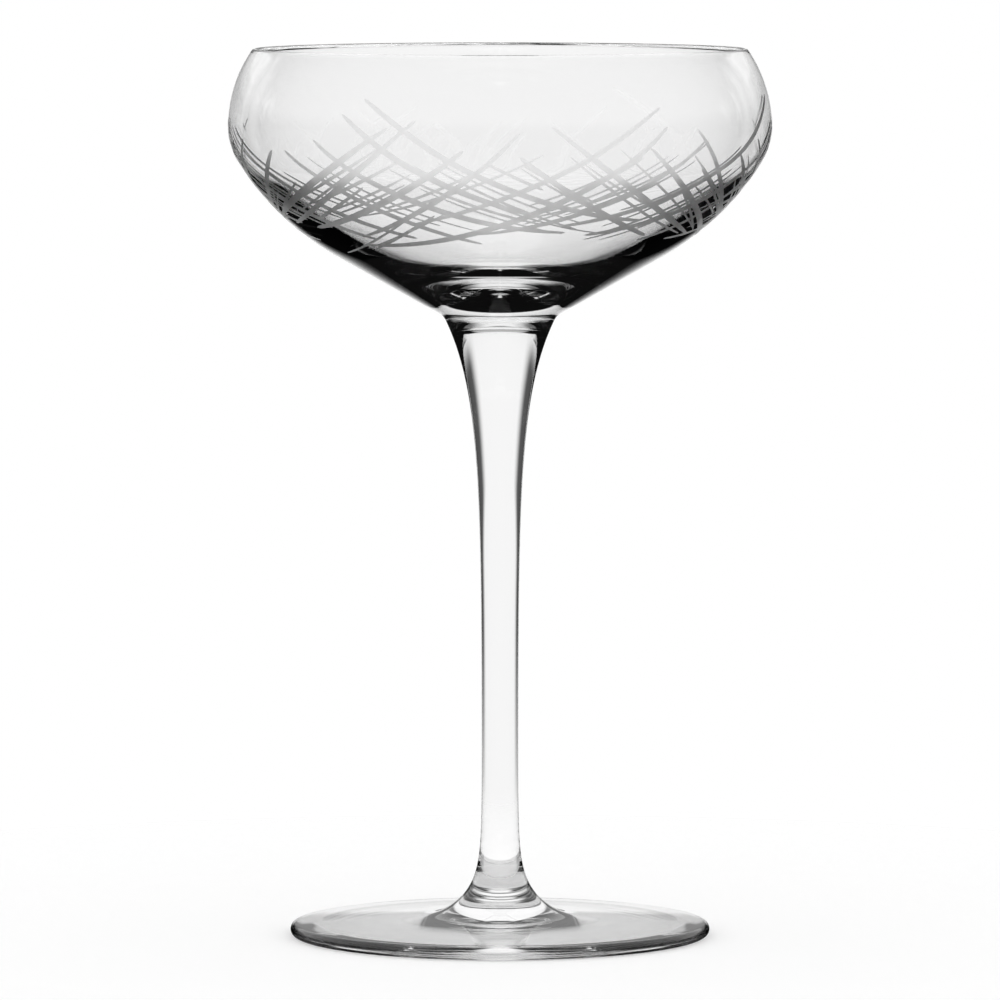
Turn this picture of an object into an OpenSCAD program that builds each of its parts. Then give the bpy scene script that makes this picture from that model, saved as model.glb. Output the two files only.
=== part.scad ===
// Stemmed coupe glass: a blown bowl, a drawn stem and a spun foot, fused at two flat seams.
// Millimetres. The origin is the centre of the foot's standing ring, and +Z runs up the axis.

/* [Whole glass] */
// Height from the table to the top of the lip
height = 167; // [150:0.5:190]

/* [Bowl] */
// Outside diameter at the widest point
bowl_d = 102; // [96:0.5:116]
// Diameter of the mouth, at the middle of the lip
mouth_d = 92; // [84:0.5:95]
// Height of the leaning upper wall, from the widest point to the top of the lip
upper_h = 14.5; // [11:0.5:20]
// Thickness of the upper wall and the lip
wall_t = 1.3; // [1:0.1:2]
// Radius of the outside shoulder, under the widest point
shoulder_r = 12.5; // [9:0.5:14]
// How far the outside shoulder turns in from upright, in degrees
shoulder_turn = 32; // [28:1:36]
// Radius of the long curve below the shoulder
side_r = 52; // [48:1:58]
// Slope of the conical underside from level, in degrees
cone_slope = 29.5; // [27:0.5:32]
// Radius of the hollow curve where the underside turns into the stem
neck_r = 3; // [1:0.5:5]
// Radius of the inside shoulder
inside_shoulder_r = 14; // [9:0.5:15]
// Thickness of glass on the axis, from the seam to the inside floor
base_t = 7; // [4:0.5:9]

/* [Stem] */
// Diameter of the seam under the bowl
bowl_seam_d = 20.4; // [16:0.2:24]
// Diameter that the stem narrows to at its waist
waist_d = 6.8; // [5:0.2:9]
// Length in which the flare under the bowl falls to about a third
bowl_flare = 14.3; // [10:0.1:18]
// Diameter of the seam on the foot
foot_seam_d = 18.6; // [14:0.2:22]
// Length in which the flare on the foot falls to about a third
foot_flare = 4.1; // [3:0.1:6]

/* [Foot] */
// Outside diameter of the foot
foot_d = 79; // [70:0.5:88]
// Height of the seam above the table
foot_h = 5.5; // [5:0.1:8]
// Thickness at the rounded edge
edge_t = 2.4; // [1.8:0.1:3]
// Radius of the hollow curve from the stem on to the foot
foot_hollow_r = 10; // [6:0.5:14]
// Width of the flat ring that the glass stands on
ring_w = 4; // [2:0.5:8]
// Rise of the hollow underside at the axis
hollow_h = 1.4; // [0.6:0.1:2]

/* [Hidden] */

glass = [0.86, 0.90, 0.91, 0.45];
// Facets round the axis
$fn = 128;
// Turn of one straight step along a curve, in degrees
curve_step = 3;
// Steps along the stem's outline
stem_steps = 64;

bowl_r = bowl_d / 2;
belly_z = height - upper_h;
bowl_seam_r = bowl_seam_d / 2;
waist_r = waist_d / 2;
foot_seam_r = foot_seam_d / 2;

// A point at an angle and distance from a centre, in the plane of an outline: [radius, height]
function around(centre, r, angle) = centre + r * [cos(angle), sin(angle)];

// The points of an arc after its first one, which the outline already holds
function arc(centre, r, from, to) =
    let (steps = max(2, ceil(abs(to - from) / curve_step)))
    [for (i = [1 : steps]) around(centre, r, from + (to - from) * i / steps)];

// Radius of a circle that leaves a line square to it and, after a rise, has moved off it by a run
function sweep_r(run, rise) = (run * run + rise * rise) / (2 * run);

// Upper wall: the middle of the wall leaves the widest point upright and reaches the middle of the lip
lip_run = bowl_r - wall_t / 2 - mouth_d / 2;
lip_rise = upper_h - wall_t / 2;
upper_r = sweep_r(lip_run, lip_rise);
upper_centre = [bowl_r - wall_t / 2 - upper_r, belly_z];
lip_angle = asin(lip_rise / upper_r);
lip_centre = around(upper_centre, upper_r, lip_angle);

// Outside: shoulder, long side curve, straight cone, hollow neck, each tangent to the one before
shoulder_centre = [bowl_r - shoulder_r, belly_z];
shoulder_end = around(shoulder_centre, shoulder_r, -shoulder_turn);
side_centre = around(shoulder_end, side_r, 180 - shoulder_turn);
cone_top = around(side_centre, side_r, cone_slope - 90);
stem_slope = atan(bowl_flare / (bowl_seam_r - waist_r));
neck_run = neck_r * (sin(stem_slope) - sin(cone_slope));
neck_rise = neck_r * (cos(cone_slope) - cos(stem_slope));
cone_end_r = bowl_seam_r + neck_run;
cone_end_z = cone_top.y - (cone_top.x - cone_end_r) * tan(cone_slope);
neck_centre = around([cone_end_r, cone_end_z], neck_r, cone_slope - 90);
bowl_seam_z = cone_end_z - neck_rise;

// Inside: a shoulder and a round floor, tangent to each other, with the base's thickness under the floor
inside_r = bowl_r - wall_t;
floor_z = bowl_seam_z + base_t;
floor_depth = belly_z - floor_z;
floor_r = (floor_depth * floor_depth + inside_r * inside_r - 2 * inside_r * inside_shoulder_r)
    / (2 * (floor_depth - inside_shoulder_r));
floor_centre = [0, floor_z + floor_r];
inside_shoulder_centre = [inside_r - inside_shoulder_r, belly_z];
floor_turn = atan2(floor_centre.y - belly_z, inside_shoulder_centre.x);

// Foot: the hollow curve leaves the seam in line with the stem, and one line touches it and the rounded edge
foot_slope = atan(foot_flare / (foot_seam_r - waist_r));
edge_r = edge_t / 2;
edge_centre = [foot_d / 2 - edge_r, edge_r];
foot_hollow_centre = around([foot_seam_r, foot_h], foot_hollow_r, 90 - foot_slope);
to_edge = edge_centre - foot_hollow_centre;
top_slope = -atan2(to_edge.y, to_edge.x) - asin((foot_hollow_r + edge_r) / norm(to_edge));
hollow_edge_r = edge_centre.x - ring_w;
underside_r = sweep_r(hollow_h, hollow_edge_r);
underside_centre = [0, hollow_h - underside_r];
underside_turn = asin(hollow_edge_r / underside_r);

// Outline of the blown bowl, from the axis at the seam, up the outside, over the lip and down the inside
function bowl_outline() = concat(
    [[0, bowl_seam_z], [bowl_seam_r, bowl_seam_z]],
    arc(neck_centre, neck_r, 90 + stem_slope, 90 + cone_slope),
    [cone_top],
    arc(side_centre, side_r, cone_slope - 90, -shoulder_turn),
    arc(shoulder_centre, shoulder_r, -shoulder_turn, 0),
    arc(upper_centre, upper_r + wall_t / 2, 0, lip_angle),
    arc(lip_centre, wall_t / 2, lip_angle, lip_angle + 180),
    arc(upper_centre, upper_r - wall_t / 2, lip_angle, 0),
    arc(inside_shoulder_centre, inside_shoulder_r, 0, -floor_turn),
    arc(floor_centre, floor_r, -floor_turn, -90));

// Radius of the drawn stem at a height: the waist and a flare that dies away from each seam
function stem_r(z) = waist_r
    + (bowl_seam_r - waist_r) * exp((z - bowl_seam_z) / bowl_flare)
    + (foot_seam_r - waist_r) * exp((foot_h - z) / foot_flare);

// Outline of the drawn stem, with its steps closer together towards both seams
function stem_outline() = concat(
    [[0, foot_h], [foot_seam_r, foot_h]],
    [for (i = [1 : stem_steps - 1])
        let (share = (1 - cos(180 * i / stem_steps)) / 2, z = foot_h + (bowl_seam_z - foot_h) * share)
        [stem_r(z), z]],
    [[bowl_seam_r, bowl_seam_z], [0, bowl_seam_z]]);

// Outline of the spun foot, from the axis at the seam, down the top, round the edge and across the underside
function foot_outline() = concat(
    [[0, foot_h], [foot_seam_r, foot_h]],
    arc(foot_hollow_centre, foot_hollow_r, -90 - foot_slope, -90 - top_slope),
    [around(edge_centre, edge_r, 90 - top_slope)],
    arc(edge_centre, edge_r, 90 - top_slope, -90),
    [[hollow_edge_r, 0]],
    arc(underside_centre, underside_r, 90 - underside_turn, 90));

// Blown bowl with a thick base
module bowl() {
    color(glass) rotate_extrude() polygon(bowl_outline());
}

// Drawn stem between the two seams
module stem() {
    color(glass) rotate_extrude() polygon(stem_outline());
}

// Spun foot that stands on a flat ring
module foot() {
    color(glass) rotate_extrude() polygon(foot_outline());
}

bowl();
stem();
foot();
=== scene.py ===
# %% [markdown]
# # A stemmed coupe glass with a cut bowl
# The real glass is three pieces of clear glass: a blown bowl, a drawn stem and a spun foot, fused hot at two seams.
# A band of matt strokes is cut into the outside of the bowl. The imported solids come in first, and everything that
# follows is measured from them, in metres and in the same frame.

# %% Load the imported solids
import math
import random

import bmesh
import bpy
import numpy as np
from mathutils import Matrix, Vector
from mathutils.geometry import delaunay_2d_cdt


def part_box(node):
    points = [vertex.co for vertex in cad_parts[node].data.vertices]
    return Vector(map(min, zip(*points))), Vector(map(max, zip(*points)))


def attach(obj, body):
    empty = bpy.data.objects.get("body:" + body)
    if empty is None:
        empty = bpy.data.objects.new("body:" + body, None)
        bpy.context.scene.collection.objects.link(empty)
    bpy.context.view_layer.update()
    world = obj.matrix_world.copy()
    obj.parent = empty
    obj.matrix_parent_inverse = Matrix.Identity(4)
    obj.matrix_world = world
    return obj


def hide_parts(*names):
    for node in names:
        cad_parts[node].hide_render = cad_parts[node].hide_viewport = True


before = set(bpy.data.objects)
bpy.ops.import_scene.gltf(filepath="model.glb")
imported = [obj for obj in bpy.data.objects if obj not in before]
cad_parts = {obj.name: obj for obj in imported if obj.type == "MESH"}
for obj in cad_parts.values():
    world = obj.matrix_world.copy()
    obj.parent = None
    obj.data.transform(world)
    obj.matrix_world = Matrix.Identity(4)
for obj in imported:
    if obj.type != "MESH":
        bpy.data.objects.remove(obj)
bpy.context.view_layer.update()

# %% [markdown]
# ## The camera
# The picture was taken with a long lens, a little above the middle of the glass, so the mouth shows as a thin ellipse
# and the sides stay almost upright. A camera is placed by where it stands and what it looks at, and the lens then
# sets how large the glass is in the square picture.

# %% Camera
CAMERA_BACK, CAMERA_UP, AIM_UP = 1.683, 0.2104, 0.0822
LENS = 323.2

lens = bpy.data.cameras.new("camera")
lens.sensor_width, lens.lens, lens.clip_end = 36.0, LENS, 100.0
camera = bpy.data.objects.new("camera", lens)
camera.location = (0.0, -CAMERA_BACK, CAMERA_UP)
camera.rotation_euler = (math.pi / 2 - math.atan2(CAMERA_UP - AIM_UP, CAMERA_BACK), 0.0, 0.0)
scene = bpy.context.scene
scene.collection.objects.link(camera)
scene.camera = camera
print("camera looks down by", round(90 - math.degrees(camera.rotation_euler.x), 2), "degrees")

# %% [markdown]
# ## Writing shaders as sums
# A finish is a small network of nodes. Wiring each node by hand hides the idea, so one class wraps a socket and turns
# plus, minus and times into Math nodes, and one method adds any other node.


# %% Node helpers
class Finish:
    """A node tree that is being written."""

    def __init__(self, tree):
        self.tree = tree
        tree.nodes.clear()

    def add(self, kind, settings=None, inputs=None, output=0):
        node = self.tree.nodes.new("ShaderNode" + kind)
        for name, value in (settings or {}).items():
            setattr(node, name, value)
        for name, value in (inputs or {}).items():
            if isinstance(value, Wire):
                self.tree.links.new(value.socket, node.inputs[name])
            else:
                node.inputs[name].default_value = value
        return Wire(self, node.outputs[output]) if len(node.outputs) else node


class Wire:
    """One output socket. Arithmetic on it adds Math nodes."""

    def __init__(self, finish, socket):
        self.finish, self.socket = finish, socket

    def maths(self, operation, *terms):
        return self.finish.add("Math", {"operation": operation}, dict(enumerate(terms)))

    def __add__(self, other):
        return self.maths("ADD", self, other)

    def __sub__(self, other):
        return self.maths("SUBTRACT", self, other)

    def __rsub__(self, other):
        return self.maths("SUBTRACT", other, self)

    def __mul__(self, other):
        return self.maths("MULTIPLY", self, other)

    __radd__, __rmul__ = __add__, __mul__

    def ramp(self, start, end):
        """0 below start, 1 above end, and a smooth step between."""
        return self.finish.add("MapRange", {"interpolation_type": "SMOOTHSTEP"},
                               {"Value": self, "From Min": start, "From Max": end})


def new_finish(name):
    material = bpy.data.materials.new(name)
    material.use_nodes = True
    return material, Finish(material.node_tree)


# %% [markdown]
# ## Clear glass
# Fire-polished glass is perfectly smooth to the touch but never quite flat: it keeps a faint ripple from the heat and
# the tools. Here the ripple is a slow noise through a Bump node, a few thousandths of a millimetre high. The colour is
# pure white, because in a transmitting shader it multiplies every pass through the wall.

# %% Clear glass
CLEAR = (1.0, 1.0, 1.0, 1.0)
GLASS_IOR = 1.5


def clear_glass(name, stretch, ripple):
    material, finish = new_finish(name)
    place = finish.add("TexCoord", output="Object")
    drawn = finish.add("Mapping", {"vector_type": "POINT"}, {"Vector": place, "Scale": stretch})
    wave = finish.add("TexNoise", {}, {"Vector": drawn, "Scale": 1.0, "Detail": 1.0, "Roughness": 0.4})
    bump = finish.add("Bump", {}, {"Height": wave, "Strength": 1.0, "Distance": ripple})
    glass = finish.add("BsdfPrincipled", {}, {"Base Color": CLEAR, "Transmission Weight": 1.0, "IOR": GLASS_IOR,
                                              "Roughness": 0.0, "Normal": bump})
    finish.add("OutputMaterial", {}, {"Surface": glass})
    return material


bowl_clear = clear_glass("bowl_clear_glass", (60.0, 60.0, 60.0), 4e-6)
stem_clear = clear_glass("stem_clear_glass", (160.0, 160.0, 25.0), 2e-6)
foot_clear = clear_glass("foot_clear_glass", (70.0, 70.0, 70.0), 4e-6)
print("clear glass with an index of", GLASS_IOR)

# %% [markdown]
# ## Cut glass and the fused seams
# A stone wheel leaves the strokes matt: a rough face that still lets light through but scatters it. Fine grain goes
# through a Bump node, and slow streaks vary the roughness. Seen from inside the wall a ground face scatters light
# forward and looks paler than from outside, so its back is made partly clear. Where two pieces were fused there is no
# surface left at all, so the flat end of each piece is fully clear and light crosses it unbent. A glass with an index
# of 1 sounds the same, but it still mirrors a little.

# %% Matt cuts and seams
GROUND_TINT, BACK_CLEAR = 0.95, 0.85

matt_cut, finish = new_finish("matt_cut_glass")
place = finish.add("TexCoord", output="Object")
grain = finish.add("TexNoise", {}, {"Vector": place, "Scale": 4000.0, "Detail": 3.0, "Roughness": 0.6})
streak = finish.add("TexNoise", {}, {"Vector": place, "Scale": 350.0, "Detail": 2.0})
bump = finish.add("Bump", {}, {"Height": grain, "Strength": 0.6, "Distance": 2e-5})
inside = finish.add("NewGeometry", output="Backfacing")
glass = finish.add("BsdfPrincipled", {}, {"Base Color": (GROUND_TINT, GROUND_TINT, GROUND_TINT, 1.0),
                                          "Transmission Weight": 1.0, "IOR": GLASS_IOR,
                                          "Roughness": 0.5 + 0.2 * streak, "Normal": bump,
                                          "Alpha": 1 - BACK_CLEAR * inside})
finish.add("OutputMaterial", {}, {"Surface": glass})

fused_seam, finish = new_finish("fused_seam_glass")
glass = finish.add("BsdfPrincipled", {}, {"Base Color": CLEAR, "Alpha": 0.0})
finish.add("OutputMaterial", {}, {"Surface": glass})
print("finishes:", [m.name for m in (bowl_clear, stem_clear, foot_clear, matt_cut, fused_seam)])

# %% [markdown]
# ## Outlines
# Every piece was shaped while it turned, so one outline of radius and height gives the whole form. The outlines are
# arcs that run into each other without a kink, drawn from the same sizes as the solids. Overall sizes are read from
# the solids' boxes.

# %% Sizes
bowl_top, stem_top, foot_top = (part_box(node)[1] for node in ("bowl", "stem", "foot"))
HEIGHT, BOWL_R = bowl_top.z, bowl_top.x
SEAM_Z, SEAM_R = stem_top.z, stem_top.x
FOOT_R, FOOT_Z = foot_top.x, foot_top.z
MOUTH_R, UPPER_H, WALL = 0.046, 0.0145, 0.0013
SHOULDER_R, SHOULDER_TURN, SIDE_R, CONE_SLOPE, NECK_R = 0.0125, 32.0, 0.052, 29.5, 0.003
INSIDE_SHOULDER_R, BASE = 0.014, 0.007
WAIST_R, BOWL_FLARE, FOOT_SEAM_R, FOOT_FLARE = 0.0034, 0.0143, 0.0093, 0.0041
EDGE_R, FOOT_HOLLOW_R, RING_W, HOLLOW_H = 0.0012, 0.010, 0.004, 0.0014
BELLY_Z = HEIGHT - UPPER_H
print("bowl radius", round(BOWL_R, 5), "seams at", round(SEAM_Z, 5), round(FOOT_Z, 5), "foot radius", round(FOOT_R, 5))

# %% Drawing helpers
LINE_STEP, TURN_STEP, FEWEST_STEPS = 0.001, 8, 4


def around(centre, radius, angle):
    turn = math.radians(angle)
    return np.array([centre[0] + radius * math.cos(turn), centre[1] + radius * math.sin(turn)])


def arc(centre, radius, start, end):
    """Points of an arc after its first one, a millimetre or eight degrees apart at most."""
    turn = abs(end - start)
    count = max(FEWEST_STEPS, math.ceil(turn / TURN_STEP), math.ceil(radius * math.radians(turn) / LINE_STEP))
    return [around(centre, radius, angle) for angle in np.linspace(start, end, count + 1)[1:]]


def line(start, end):
    count = max(1, math.ceil(math.dist(start, end) / LINE_STEP))
    return [np.asarray(start) + (np.asarray(end) - start) * k / count for k in range(1, count + 1)]


def sweep_r(run, rise):
    """Radius of a circle that leaves a line square to it and has moved off by run after a rise."""
    return (run * run + rise * rise) / (2 * run)


# %% Bowl outlines
lip_run, lip_rise = BOWL_R - WALL / 2 - MOUTH_R, UPPER_H - WALL / 2
upper_r = sweep_r(lip_run, lip_rise)
upper_centre = np.array([BOWL_R - WALL / 2 - upper_r, BELLY_Z])
lip_angle = math.degrees(math.asin(lip_rise / upper_r))
lip_centre = around(upper_centre, upper_r, lip_angle)
shoulder_centre = np.array([BOWL_R - SHOULDER_R, BELLY_Z])
shoulder_end = around(shoulder_centre, SHOULDER_R, -SHOULDER_TURN)
side_centre = around(shoulder_end, SIDE_R, 180 - SHOULDER_TURN)
cone_top = around(side_centre, SIDE_R, CONE_SLOPE - 90)
stem_slope = math.degrees(math.atan(BOWL_FLARE / (SEAM_R - WAIST_R)))
neck_centre = around([SEAM_R, SEAM_Z], NECK_R, stem_slope - 90)
cone_end = around(neck_centre, NECK_R, 90 + CONE_SLOPE)

bowl_outside = np.array([np.array([SEAM_R, SEAM_Z])]
                        + arc(neck_centre, NECK_R, 90 + stem_slope, 90 + CONE_SLOPE)
                        + line(cone_end, cone_top)
                        + arc(side_centre, SIDE_R, CONE_SLOPE - 90, -SHOULDER_TURN)
                        + arc(shoulder_centre, SHOULDER_R, -SHOULDER_TURN, 0)
                        + arc(upper_centre, upper_r + WALL / 2, 0, lip_angle)
                        + arc(lip_centre, WALL / 2, lip_angle, 90))

inside_r, floor_z = BOWL_R - WALL, SEAM_Z + BASE
depth = BELLY_Z - floor_z
floor_r = (depth * depth + inside_r * inside_r - 2 * inside_r * INSIDE_SHOULDER_R) / (2 * (depth - INSIDE_SHOULDER_R))
floor_centre = np.array([0.0, floor_z + floor_r])
inside_centre = np.array([inside_r - INSIDE_SHOULDER_R, BELLY_Z])
floor_turn = math.degrees(math.atan2(floor_centre[1] - BELLY_Z, inside_centre[0]))
bowl_inside = np.array([bowl_outside[-1]]
                       + arc(lip_centre, WALL / 2, 90, lip_angle + 180)
                       + arc(upper_centre, upper_r - WALL / 2, lip_angle, 0)
                       + arc(inside_centre, INSIDE_SHOULDER_R, 0, -floor_turn)
                       + arc(floor_centre, floor_r, -floor_turn, -90))
bowl_inside[-1, 0] = 0.0
print("bowl outline points", len(bowl_outside), "+", len(bowl_inside), "cone meets neck at", cone_end.round(5))

# %% Stem and foot outlines
STEM_STEPS = 120
share = (1 - np.cos(np.pi * np.arange(0, STEM_STEPS + 1) / STEM_STEPS)) / 2
stem_z = FOOT_Z + (SEAM_Z - FOOT_Z) * share
stem_r = (WAIST_R + (SEAM_R - WAIST_R) * np.exp((stem_z - SEAM_Z) / BOWL_FLARE)
          + (FOOT_SEAM_R - WAIST_R) * np.exp((FOOT_Z - stem_z) / FOOT_FLARE))
stem_r[0], stem_r[-1] = FOOT_SEAM_R, SEAM_R
stem_side = np.column_stack([stem_r, stem_z])

foot_slope = math.degrees(math.atan(FOOT_FLARE / (FOOT_SEAM_R - WAIST_R)))
edge_centre = np.array([FOOT_R - EDGE_R, EDGE_R])
hollow_centre = around([FOOT_SEAM_R, FOOT_Z], FOOT_HOLLOW_R, 90 - foot_slope)
to_edge = edge_centre - hollow_centre
top_slope = (-math.degrees(math.atan2(to_edge[1], to_edge[0]))
             - math.degrees(math.asin((FOOT_HOLLOW_R + EDGE_R) / np.hypot(*to_edge))))
ring_in = edge_centre[0] - RING_W
underside_r = sweep_r(HOLLOW_H, ring_in)
underside_centre = np.array([0.0, HOLLOW_H - underside_r])
underside_turn = math.degrees(math.asin(ring_in / underside_r))
hollow_end = around(hollow_centre, FOOT_HOLLOW_R, -90 - top_slope)
foot_side = np.array([np.array([FOOT_SEAM_R, FOOT_Z])]
                     + arc(hollow_centre, FOOT_HOLLOW_R, -90 - foot_slope, -90 - top_slope)
                     + line(hollow_end, around(edge_centre, EDGE_R, 90 - top_slope))
                     + arc(edge_centre, EDGE_R, 90 - top_slope, -90)
                     + line([edge_centre[0], 0.0], [ring_in, 0.0])
                     + arc(underside_centre, underside_r, 90 - underside_turn, 90))
foot_side[-1, 0] = 0.0
print("stem outline points", len(stem_side), "foot outline points", len(foot_side))

# %% [markdown]
# ## Turning an outline
# A lathe spins the outline round the axis. In code that is one ring of points for each outline point, joined by
# quads. The Spin tool does the same, but writing the rings keeps every point where the outline says and leaves the
# ends open for the seams.

# %% Lathe helpers
ROUND, BACK, ON_AXIS = 256, math.pi / 2, 1e-7
WELD, SLIVER = 1.5e-6, 1e-7


def turned(outline):
    """Points and faces of an outline turned round the axis. A point on the axis stays one point."""
    angles = np.arange(ROUND) * (2 * math.pi / ROUND) + BACK
    points, faces, rings = [], [], []
    for r, z in outline:
        count = ROUND if r > ON_AXIS else 1
        rings.append([len(points) + k % count for k in range(ROUND + 1)])
        points += [(r * math.cos(a), r * math.sin(a), z) for a in angles[:count]]
    for low, high in zip(rings, rings[1:]):
        for k in range(ROUND):
            corners = [low[k], low[k + 1], high[k + 1], high[k]]
            faces.append(tuple(dict.fromkeys(corners)))
    return points, faces


def piece(name, parts, materials):
    """One closed mesh from several (points, faces, material number) parts, welded where they meet."""
    points, faces, finishes = [], [], []
    for part_points, part_faces, finish_number in parts:
        faces += [tuple(k + len(points) for k in face) for face in part_faces]
        finishes += list(finish_number) if hasattr(finish_number, "__len__") else [finish_number] * len(part_faces)
        points += list(part_points)
    mesh = bpy.data.meshes.new(name)
    mesh.from_pydata(points, [], faces)
    for material in materials:
        mesh.materials.append(material)
    mesh.polygons.foreach_set("material_index", finishes)
    crisp = {k for k, material in enumerate(materials) if material in (matt_cut, fused_seam)}
    shape = bmesh.new()
    shape.from_mesh(mesh)
    bmesh.ops.remove_doubles(shape, verts=shape.verts, dist=WELD)
    bmesh.ops.dissolve_degenerate(shape, edges=shape.edges, dist=SLIVER)
    bmesh.ops.recalc_face_normals(shape, faces=shape.faces)
    for face in shape.faces:
        face.smooth = True
    for edge in shape.edges:
        if len(edge.link_faces) == 2:
            met = {face.material_index for face in edge.link_faces}
            edge.smooth = len(met) == 1 or not met & crisp
    open_edges = sum(len(edge.link_faces) != 2 for edge in shape.edges)
    volume = shape.calc_volume()
    shape.to_mesh(mesh)
    shape.free()
    obj = bpy.data.objects.new(name, mesh)
    scene.collection.objects.link(obj)
    print(name, len(mesh.polygons), "faces, open edges", open_edges, "volume", round(volume * 1e6, 2), "ml")
    return obj


# %% [markdown]
# ## The stem and the foot
# The stem is drawn out of a hot gather, which is why it thins so smoothly, and the foot is pressed and spun to a thin
# disc. Each is one turned outline, closed by the flat face where it was fused to its neighbour. The two faces of a
# seam touch and share one edge ring, so the outline runs on without a step.

# %% Stem and foot
stem = piece("drawn_stem", [(*turned(stem_side), 0),
                            (*turned([(0.0, FOOT_Z), (FOOT_SEAM_R, FOOT_Z)]), 1),
                            (*turned([(SEAM_R, SEAM_Z), (0.0, SEAM_Z)]), 1)], [stem_clear, fused_seam])
foot = piece("spun_foot", [(*turned(foot_side), 0),
                           (*turned([(0.0, FOOT_Z), (FOOT_SEAM_R, FOOT_Z)]), 1)], [foot_clear, fused_seam])

# %% [markdown]
# ## Planning the cuts
# The cutter holds the bowl against a wheel and rolls it, so each stroke is a shallow, slightly curved groove with
# tapered ends. Strokes come in loose groups of near-parallel cuts, broad and fine mixed, and the groups lean left and
# right in turn so that they cross. The layout is drawn from a seeded random generator, so it is the same each time.
# Each stroke is followed over the real surface: its place is an angle round the axis and a distance along the outline.

# %% The surface that is cut
along = np.concatenate([[0.0], np.cumsum(np.hypot(*np.diff(bowl_outside, axis=0).T))])
tangent = np.gradient(bowl_outside, along, axis=0)
tangent /= np.hypot(*tangent.T)[:, None]
outward = np.column_stack([tangent[:, 1], -tangent[:, 0]])


def at(s):
    """Radius, height and outward direction of the bowl's outside at a distance along its outline."""
    return (np.interp(s, along, bowl_outside[:, 0]), np.interp(s, along, bowl_outside[:, 1]),
            np.interp(s, along, outward[:, 0]), np.interp(s, along, outward[:, 1]))


def s_at(z):
    return np.interp(z, bowl_outside[:, 1], along)


ABOVE_SEAM, BELOW_LIP = 0.0022, 0.006
BAND_LOW, BAND_HIGH = s_at(SEAM_Z + ABOVE_SEAM), s_at(HEIGHT - BELOW_LIP)
print("cut band from", round(float(at(BAND_LOW)[1]), 4), "to", round(float(at(BAND_HIGH)[1]), 4), "m up")

# %% Following one stroke
STEP, PROBE, FOLLOW = 0.0007, 1e-4, 0.8
WAVES, CREST, SWELL, HIGHEST = 6, 0.1535, 0.0045, 0.1602


def crest(theta):
    """Height of the pattern's wavy upper edge at an angle: low in the middle of the front."""
    return CREST - SWELL * math.cos(WAVES * (theta - math.pi))


def stroke(theta, s, lean, bend, length, width, taper, lowest, spare):
    """A groove's centre line from its middle outwards: angle, distance, direction and half width."""
    ways = []
    for way in (-1.0, 1.0):
        path, here_theta, here_s, heading = [], theta, s, lean
        for _ in range(int(length / 2 / STEP)):
            r = float(at(here_s)[0])
            swing = float(at(here_s + PROBE)[0] - at(here_s - PROBE)[0]) / (2 * PROBE)
            here_theta += way * STEP * math.cos(heading) / r
            here_s += way * STEP * math.sin(heading)
            heading += way * STEP * (swing * math.cos(heading) / r * FOLLOW + bend)
            if not lowest < here_s < s_at(min(crest(here_theta) + spare, HIGHEST)):
                break
            path.append((here_theta, here_s, heading))
        ways.append(path)
    path = np.array(ways[0][::-1] + [(theta, s, lean)] + ways[1])
    t = np.linspace(0.0, 1.0, len(path))
    return np.column_stack([path, width / 2 * np.sin(np.pi * t) ** taper]), width


print("pattern's upper edge from", round(CREST - SWELL, 4), "to", round(CREST + SWELL, 4), "m up")

# %% One cut
MIDDLE, LOWEST, SPARE = 0.1400, (0.1275, 0.1335), 0.004
BEND, TAPER, FEWEST = 3, (0.18, 0.35), 12
chance = random.Random(41)
strokes = []


def cut(theta, lean, side, slide, length, width):
    """One stroke: its line crosses the middle of the band at theta, and slide moves it along that line."""
    heading = math.radians(lean if side > 0 else 180 - lean)
    lowest, spare = s_at(chance.uniform(*LOWEST)), chance.uniform(-SPARE, SPARE)
    s = s_at(MIDDLE) + slide * math.sin(heading)
    theta += slide * math.cos(heading) / float(at(s)[0])
    made = stroke(theta, s, heading, chance.uniform(-BEND, BEND), length, width, chance.uniform(*TAPER), lowest, spare)
    if len(made[0]) > FEWEST:
        strokes.append(made)


# %% Laying out the strokes
BROAD, BROAD_SHIFT, BROAD_LEAN, BROAD_SLIDE = 50, 0.3, (26, 34), (-0.012, 0.014)
BROAD_LENGTH, BROAD_WIDTH = (0.044, 0.072), (0.0010, 0.0015)
FINE_GROUPS, FINE_SHIFT, FINE_LEAN, FINE_SLIDE = 48, 0.4, (24, 34), (-0.014, 0.012)
FINE_LENGTH, FINE_WIDTH, FINE_GAP = (0.018, 0.042), (0.00045, 0.00075), (0.05, 0.08)
IN_GROUP, LEAN_SPREAD, SLIDE_SPREAD = (2, 3, 3, 4), 3, 0.006
for number in range(BROAD):
    theta = 2 * math.pi * (number + chance.uniform(-BROAD_SHIFT, BROAD_SHIFT)) / BROAD
    cut(theta, chance.uniform(*BROAD_LEAN), 1 if number % 2 else -1, chance.uniform(*BROAD_SLIDE),
        chance.uniform(*BROAD_LENGTH), chance.uniform(*BROAD_WIDTH))
for number in range(FINE_GROUPS):
    theta = 2 * math.pi * (number + chance.uniform(-FINE_SHIFT, FINE_SHIFT)) / FINE_GROUPS
    lean, side, slide = chance.uniform(*FINE_LEAN), 1 if number % 2 else -1, chance.uniform(*FINE_SLIDE)
    for line_number in range(chance.choice(IN_GROUP)):
        cut(theta + line_number * chance.uniform(*FINE_GAP), lean + chance.uniform(-LEAN_SPREAD, LEAN_SPREAD), side,
            slide + chance.uniform(-SLIDE_SPREAD, SLIDE_SPREAD), chance.uniform(*FINE_LENGTH),
            chance.uniform(*FINE_WIDTH))
print(len(strokes), "strokes, longest", round(max(len(s[0]) for s in strokes) * STEP * 1000, 1), "mm")

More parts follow.
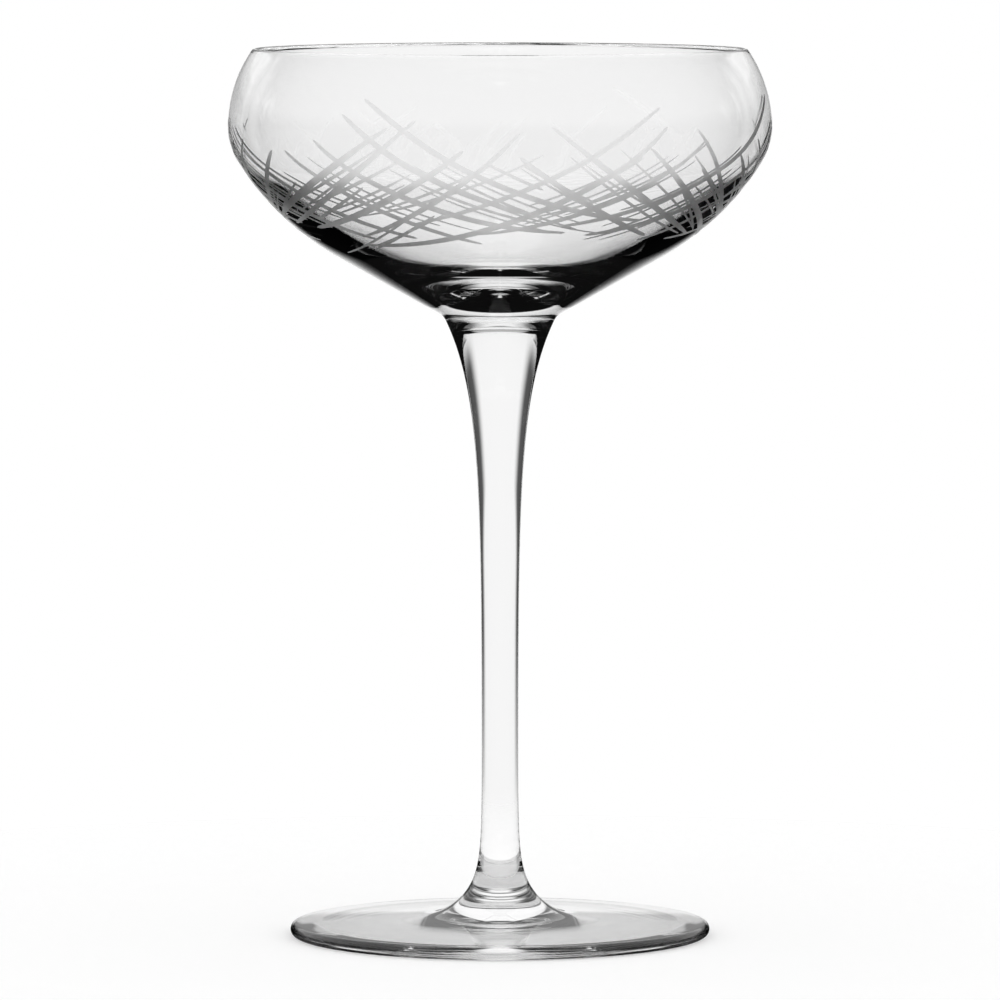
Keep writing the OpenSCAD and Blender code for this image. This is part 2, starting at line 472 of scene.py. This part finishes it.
# %% [markdown]
# ## Cutting the grooves
# A Boolean with a cutter for each stroke would work, but it leaves long thin faces that spoil the clear glass between
# the cuts. Instead the band is unrolled flat, the outlines of all the strokes are drawn on it, and a constrained
# triangulation fills the plane so that every stroke's edge is an edge of the mesh. Rolled up again, the points inside
# a stroke sink by the depth of the groove.

# %% Edges of a stroke
FLAT_R = BOWL_R
FULL_TURN = 2 * math.pi


def sides(path):
    """The two edges of a stroke, offset square to its centre line on the real surface."""
    theta, s, heading, half = path.T
    across = half * np.sin(heading) / at(s)[0], half * np.cos(heading)
    return np.column_stack([theta - across[0], s + across[1]]), np.column_stack([theta + across[0], s - across[1]])


# %% Depth of a stroke
REACH, LEAST_DEPTH, DEPTH_SHARE = 0.0025, 0.00004, 0.03


def groove(theta, s, path, width):
    """Depth of a stroke at points of the band, and how far inside (above 0) or outside (below 0) its edge they are."""
    sink, inside = np.zeros(len(theta)), np.full(len(theta), -1.0)
    r_low = at(path[:, 1].min())[0]
    near = np.flatnonzero((theta > path[:, 0].min() - REACH / r_low) & (theta < path[:, 0].max() + REACH / r_low)
                          & (s > path[:, 1].min() - REACH) & (s < path[:, 1].max() + REACH))
    if len(near):
        r = at(path[:, 1])[0]
        d_theta = (theta[near, None] - path[None, :, 0]) * r
        d_s = s[near, None] - path[None, :, 1]
        best = np.argmin(d_theta ** 2 + d_s ** 2, axis=1)
        row = np.arange(len(near))
        off = np.abs(-d_theta[row, best] * np.sin(path[best, 2]) + d_s[row, best] * np.cos(path[best, 2]))
        beyond = np.abs(d_theta[row, best] * np.cos(path[best, 2]) + d_s[row, best] * np.sin(path[best, 2]))
        half = path[best, 3]
        inside[near] = half - np.maximum(off, beyond - STEP)
        deep = (LEAST_DEPTH + DEPTH_SHARE * width) * half / (width / 2)
        sink[near] = deep * np.clip(1 - (off / np.maximum(half, 1e-9)) ** 2, 0, 1) * (inside[near] > 0)
    return sink, inside


# %% Strokes on the flat band
OVERLAP = 0.1
copies = []
for path, width in strokes:
    path[:, 0] -= FULL_TURN * math.floor(path[:, 0].mean() / FULL_TURN)
    copies.append((path, width))
    for shift in (-FULL_TURN, FULL_TURN):
        moved = path + np.array([shift, 0, 0, 0])
        if moved[:, 0].max() > -OVERLAP and moved[:, 0].min() < FULL_TURN + OVERLAP:
            copies.append((moved, width))
print(len(copies), "strokes on the flat band, with the ones that cross its ends drawn twice")

# %% Points of the clear glass between them
ROWS, POINT_GAP, FEWEST_ROUND, STROKE_GAP = 44, 0.001, 80, 0.0003
flat_points, flat_edges, flat_faces = [], [], []
rows = np.linspace(BAND_LOW, BAND_HIGH, ROWS)
for number, s in enumerate(rows):
    edge_row = number in (0, len(rows) - 1)
    count = ROUND if edge_row else int(np.clip(FULL_TURN * float(at(s)[0]) / POINT_GAP, FEWEST_ROUND, ROUND))
    start = 0 if edge_row or number % 2 else 0.5
    theta = np.concatenate([[0.0], (np.arange(count) + start)[0 if start else 1:] / count * FULL_TURN, [FULL_TURN]])
    if not edge_row:
        gap = np.full(len(theta), -1.0)
        for path, width in copies:
            gap = np.maximum(gap, groove(theta, np.full(len(theta), s), path, width)[1])
        theta = theta[(gap < -STROKE_GAP) | (theta == 0.0) | (theta == FULL_TURN)]
    first = len(flat_points)
    flat_points += [(t * FLAT_R, s) for t in theta]
    if edge_row:
        flat_edges += [(k, k + 1) for k in range(first, len(flat_points) - 1)]
for theta in (0.0, FULL_TURN):
    column = sorted((k for k, (x, s) in enumerate(flat_points) if x == theta * FLAT_R), key=lambda k: flat_points[k][1])
    flat_edges += list(zip(column, column[1:]))
print(len(flat_points), "points in", ROWS, "rows")

# %% Outlines and triangles
MM, SAME_POINT = 1000.0, 1e-5
for path, width in copies:
    left, right = sides(path)
    ring = np.vstack([path[:1, :2], right[1:-1], path[-1:, :2], left[-2:0:-1]])
    first = len(flat_points)
    flat_points += [(t * FLAT_R, s) for t, s in ring]
    flat_faces.append(list(range(first, first + len(ring))))
    first = len(flat_points)
    flat_points += [(t * FLAT_R, s) for t, s in path[1:-1, :2]]
    flat_edges += [(k, k + 1) for k in range(first, len(flat_points) - 1)]
corners, _, triangles, _, _, owners = delaunay_2d_cdt([Vector((x * MM, s * MM)) for x, s in flat_points],
                                                      flat_edges, flat_faces, 0, SAME_POINT, True)
corners = np.array([(v.x, v.y) for v in corners]) / MM
print(len(flat_points), "points drawn,", len(triangles), "triangles")

# %% Roll the band up again
theta, s = corners[:, 0] / FLAT_R, corners[:, 1]
sink = np.zeros(len(theta))
for path, width in copies:
    sink = np.maximum(sink, groove(theta, s, path, width)[0])
r, z, out_r, out_z = at(s)
r, z = r - sink * out_r, z - sink * out_z
angle = theta + BACK
band_points = np.column_stack([r * np.cos(angle), r * np.sin(angle), z])
middle = theta[np.array(triangles)].mean(axis=1)
band_faces = [tuple(f) for f, m in zip(triangles, middle) if 0 < m < FULL_TURN]
band_finish = [1 if o else 0 for o, m in zip(owners, middle) if 0 < m < FULL_TURN]
print("deepest cut", round(sink.max() * 1000, 3), "mm;", sum(band_finish), "of", len(band_faces), "triangles are cut")

# %% [markdown]
# ## The bowl
# The band is welded between the turned lower and upper wall, and the inside is turned as one smooth surface. The clear
# faces of the band get their shading direction straight from the outline, so that the irregular triangles don't show
# in the refraction.

# %% Bowl
low_part = np.vstack([bowl_outside[along < BAND_LOW], [at(BAND_LOW)[:2]]])
high_part = np.vstack([[at(BAND_HIGH)[:2]], bowl_outside[along > BAND_HIGH]])
bowl = piece("cut_bowl", [(*turned([(0.0, SEAM_Z), (SEAM_R, SEAM_Z)]), 2),
                          (*turned(low_part), 0),
                          (band_points.tolist(), band_faces, band_finish),
                          (*turned(high_part), 0),
                          (*turned(bowl_inside), 0)], [bowl_clear, matt_cut, fused_seam])


# %% Reading the mesh
def read(items, name, width=1, kind=float):
    """One value, or one row of values, for each item of a mesh."""
    values = np.empty(len(items) * width, kind)
    items.foreach_get(name, values)
    return values.reshape(-1, width) if width > 1 else values


mesh = bowl.data
corner_vertex = read(mesh.loops, "vertex_index", kind=int)
where = read(mesh.vertices, "co", 3)
face_finish = read(mesh.polygons, "material_index", kind=int)
face_size = read(mesh.polygons, "loop_total", kind=int)
centre = read(mesh.polygons, "center", 3)
print(len(where), "points,", len(corner_vertex), "corners of", len(centre), "faces")

# %% Shading directions of the outside
SEAM_FINISH, SKIN, LIP_H = 2, 0.0004, 0.003
outline_r = np.interp(centre[:, 2], bowl_outside[:, 1], bowl_outside[:, 0])
outer = (face_finish < SEAM_FINISH) & (np.hypot(centre[:, 0], centre[:, 1]) > outline_r - SKIN)
outer &= centre[:, 2] < HEIGHT - LIP_H
corner_outer = np.repeat(outer, face_size)
x, y, z = where[corner_vertex].T
r = np.hypot(x, y)
out_r, out_z = (np.interp(z, bowl_outside[:, 1], outward[:, k]) for k in (0, 1))
with np.errstate(divide="ignore", invalid="ignore"):
    full = np.column_stack([out_r * x / r, out_r * y / r, out_z])
normals = np.zeros((len(corner_vertex), 3))
normals[corner_outer] = full[corner_outer]
mesh.normals_split_custom_set(normals.tolist())
print(int(outer.sum()), "outside faces shaded from the outline")

# %% [markdown]
# ## Floor and light
# The background is white: an even white sky lights the scene, and the floor is a pale board that takes the shadow.
# Clear glass is only seen by what it bends and mirrors, so a studio puts dark things where the camera doesn't look.
# The shader can tell these rays apart: a ray that went straight through was never mirrored, and sees white unless the
# glass bent it far to the side.

# %% Sky
world = bpy.data.worlds.new("studio")
world.use_nodes = True
scene.world = world
finish = Finish(world.node_tree)
sky = finish.add("Background", {}, {"Color": CLEAR, "Strength": 1.0})
finish.add("OutputWorld", {}, {"Surface": sky})
print("sky:", world.name)

# %% Helpers for the set
BLACK = (0.004, 0.004, 0.004, 1.0)
DEGREES = 180 / math.pi


def ray_kinds(finish):
    """How often a ray was mirrored in the glass, and whether it comes from a matt surface that it lights."""
    times = finish.add("LightPath", output="Glossy Depth")
    return times, finish.add("LightPath", output="Diffuse Depth").ramp(0.0, 1.0)


def set_piece(name, height, make, **sizes):
    """An object of the set, made by a bmesh operator."""
    mesh = bpy.data.meshes.new(name)
    shape = bmesh.new()
    make(shape, **sizes)
    shape.to_mesh(mesh)
    shape.free()
    obj = bpy.data.objects.new(name, mesh)
    obj.location.z = height
    scene.collection.objects.link(obj)
    print(name, "on the set, faces:", len(mesh.polygons))
    return obj


# %% [markdown]
# The floor is white to the camera, to rays that went straight through and, under the middle of the foot, to rays
# mirrored up to five times. To other mirrored rays it is black, as if a black cloth lay round the glass, but for a
# narrow strip under the foot from front to back. No real table can do both, but it saves placing many small flags, and
# it blackens the thick lower part of the bowl. Farther out, rays mirrored eight times or more, which ran a long way
# round in the thin wall, find white again, so the far rim stays pale. A faint glow, which is seen but lights nothing,
# makes the board as white as the sky, and towards its edge it fades into the sky, so that no line of it shows in the
# stem.

# %% Floor
FLOOR_R, FLOOR_DROP, FLOOR_TONE, FLOOR_GLOW = 0.25, 0.0001, 0.95, 0.06
floor = set_piece("floor", -FLOOR_DROP, bmesh.ops.create_circle, cap_ends=True, segments=128, radius=FLOOR_R)
floor_finish, finish = new_finish("pale_floor")
seen = finish.add("LightPath", output="Is Camera Ray")
for ray in ("Is Glossy Ray", "Is Transmission Ray"):
    seen = seen + finish.add("LightPath", output=ray)
board = finish.add("BsdfDiffuse", {}, {"Color": (FLOOR_TONE, FLOOR_TONE, FLOOR_TONE, 1.0)})
glow = finish.add("Emission", {}, {"Color": CLEAR, "Strength": FLOOR_GLOW * seen})
lit = finish.add("AddShader", {}, {0: board, 1: glow})

# %% Where the floor is black
SPOT, OFTEN, LONG, FAR = (0.024, 0.034), (5.0, 6.0), (7.0, 8.0), (0.075, 0.085)
STRIP, STRIP_END, FADE = (0.002, 0.005), (0.045, 0.055), (0.1, FLOOR_R)
times, lighting = ray_kinds(finish)
mirrored = times.ramp(0.0, 1.0)
place = finish.add("TexCoord", output="Object")
away = finish.add("VectorMath", {"operation": "LENGTH"}, {0: place}, "Value")
x = finish.add("SeparateXYZ", {}, {0: place}, "X")
off_strip = x.maths("ABSOLUTE", x).ramp(*STRIP)
off_strip = x.maths("MAXIMUM", off_strip, away.ramp(*STRIP_END))
dark = x.maths("MAXIMUM", mirrored * away.ramp(*SPOT), times.ramp(*OFTEN)) * off_strip
dark = dark * (1 - times.ramp(*LONG) * away.ramp(*FAR)) * (1 - lighting)
black = finish.add("BsdfDiffuse", {}, {"Color": BLACK})
whole = finish.add("MixShader", {}, {0: dark, 1: lit, 2: black})
open_air = finish.add("BsdfTransparent", {}, {"Color": CLEAR})
rim = away.ramp(*FADE) * (1 - mirrored) * (1 - lighting)
finish.add("OutputMaterial", {}, {"Surface": finish.add("MixShader", {}, {0: rim, 1: whole, 2: open_air})})
floor.data.materials.append(floor_finish)
print("floor radius", FLOOR_R, "white spot", SPOT[0])

# %% [markdown]
# Round the set hangs a cloth that the camera doesn't see. To rays mirrored inside the glass it is black, with a grey
# ceiling and a window behind the glass, which is narrower for rays that were mirrored more often: that darkens the
# sides of the foot's edge. To rays mirrored off the outside it fades from black at the table's edge to white above,
# and a grey bar crosses the window. Two black panels stand to either side of the picture, and bent rays find them:
# they draw the dark line along the edges of the bowl and the stem.

# %% Cloth round the set
TENT_R, TENT_Z = 3.0, 0.1
tent = set_piece("tent", TENT_Z, bmesh.ops.create_uvsphere, u_segments=64, v_segments=32, radius=TENT_R)
tent_finish, finish = new_finish("black_cloth")
times, lighting = ray_kinds(finish)
mirrored = times.ramp(0.0, 1.0)
outside = 1 - finish.add("LightPath", output="Transmission Depth").ramp(0.0, 1.0)
place = finish.add("TexCoord", output="Object")
unit = finish.add("VectorMath", {"operation": "NORMALIZE"}, {0: place})
x, y, up = (finish.add("SeparateXYZ", {}, {0: unit}, axis) for axis in "XYZ")
lift = up.maths("ARCSINE", up) * DEGREES
sideways = x.maths("ABSOLUTE", x.maths("ARCTAN2", x, y) * DEGREES)

# %% Window, for rays mirrored inside the glass
WINDOW_SIDE, WINDOW_LOW, WINDOW_TOP = (36.0, 44.0), (-22.0, -14.0), (46.0, 54.0)
CEILING, CEILING_LIGHT = (56.0, 64.0), 0.5
TWICE, TWICE_SIDE, MANY, MANY_SIDE = (1.0, 2.0), (18.0, 28.0), (1.5, 5.0), (8.0, 20.0)
window = (1 - sideways.ramp(*WINDOW_SIDE)) * (1 - lift.ramp(*WINDOW_TOP)) * lift.ramp(*WINDOW_LOW)
inner = 1 - window - CEILING_LIGHT * lift.ramp(*CEILING)
for often, side in ((MANY, MANY_SIDE), (TWICE, TWICE_SIDE)):
    inner = inner.maths("MAXIMUM", inner, times.ramp(*often) * sideways.ramp(*side))
print("window from", -WINDOW_SIDE[1], "to", WINDOW_SIDE[1], "degrees, up to", WINDOW_TOP[1])

# %% Outside and panels
HORIZON, BESIDE = (0.0, 12.0), (5.0, 14.0)
BAR_DARK, BAR_LOW, BAR_TOP = 0.5, (2.0, 4.0), (11.0, 14.0)
PANEL_DARK, PANEL_LOW, PANEL_TOP, PANEL_END = 0.9, (-9.0, -5.0), (17.0, 33.0), (67.0, 73.0)
PANEL_START, PANEL_SOFT, PANEL_WIDER, PANEL_STEP = 46.0, 9.0, 12.0, (-4.0, -0.5)
outer = (1 - lift.ramp(*HORIZON)) * sideways.ramp(*BESIDE)
outer = outer + BAR_DARK * window * lift.ramp(*BAR_LOW) * (1 - lift.ramp(*BAR_TOP))
start = PANEL_START - PANEL_WIDER * lift.ramp(*PANEL_STEP)
panel = sideways.ramp(start - PANEL_SOFT, start + PANEL_SOFT) * (1 - sideways.ramp(*PANEL_END))
panel = PANEL_DARK * panel * lift.ramp(*PANEL_LOW) * (1 - lift.ramp(*PANEL_TOP))
print("panels out to", PANEL_END[1], "degrees")

# %% Hang the cloth
shut = mirrored * (outside * outer + (1 - outside) * inner) + (1 - mirrored) * panel
cloth = finish.add("BsdfDiffuse", {}, {"Color": BLACK})
gap = finish.add("BsdfTransparent", {}, {"Color": CLEAR})
hung = finish.add("MixShader", {}, {0: shut * (1 - lighting), 1: gap, 2: cloth})
finish.add("OutputMaterial", {}, {"Surface": hung})
tent.data.materials.append(tent_finish)
tent.visible_camera = tent.visible_diffuse = tent.visible_shadow = False
print("cloth radius", TENT_R)

# %% [markdown]
# ## Handing over
# The Standard view transform keeps white white. A glass needs many bounces, because a ray crosses four faces in the
# bowl alone. Nothing on a glass moves, so all three pieces ride on the one body, each in place of its plain solid.

# %% Hand over
BOUNCES, MIRRORS = 32, 16
scene.view_settings.view_transform = "Standard"
scene.cycles.max_bounces = scene.cycles.transmission_bounces = BOUNCES
scene.cycles.glossy_bounces = scene.cycles.transparent_max_bounces = MIRRORS
for shown, node, slot in ((bowl, "bowl", "bowl_glass"), (stem, "stem", "stem_glass"), (foot, "foot", "foot_glass")):
    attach(shown, "root")
    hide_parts(node)
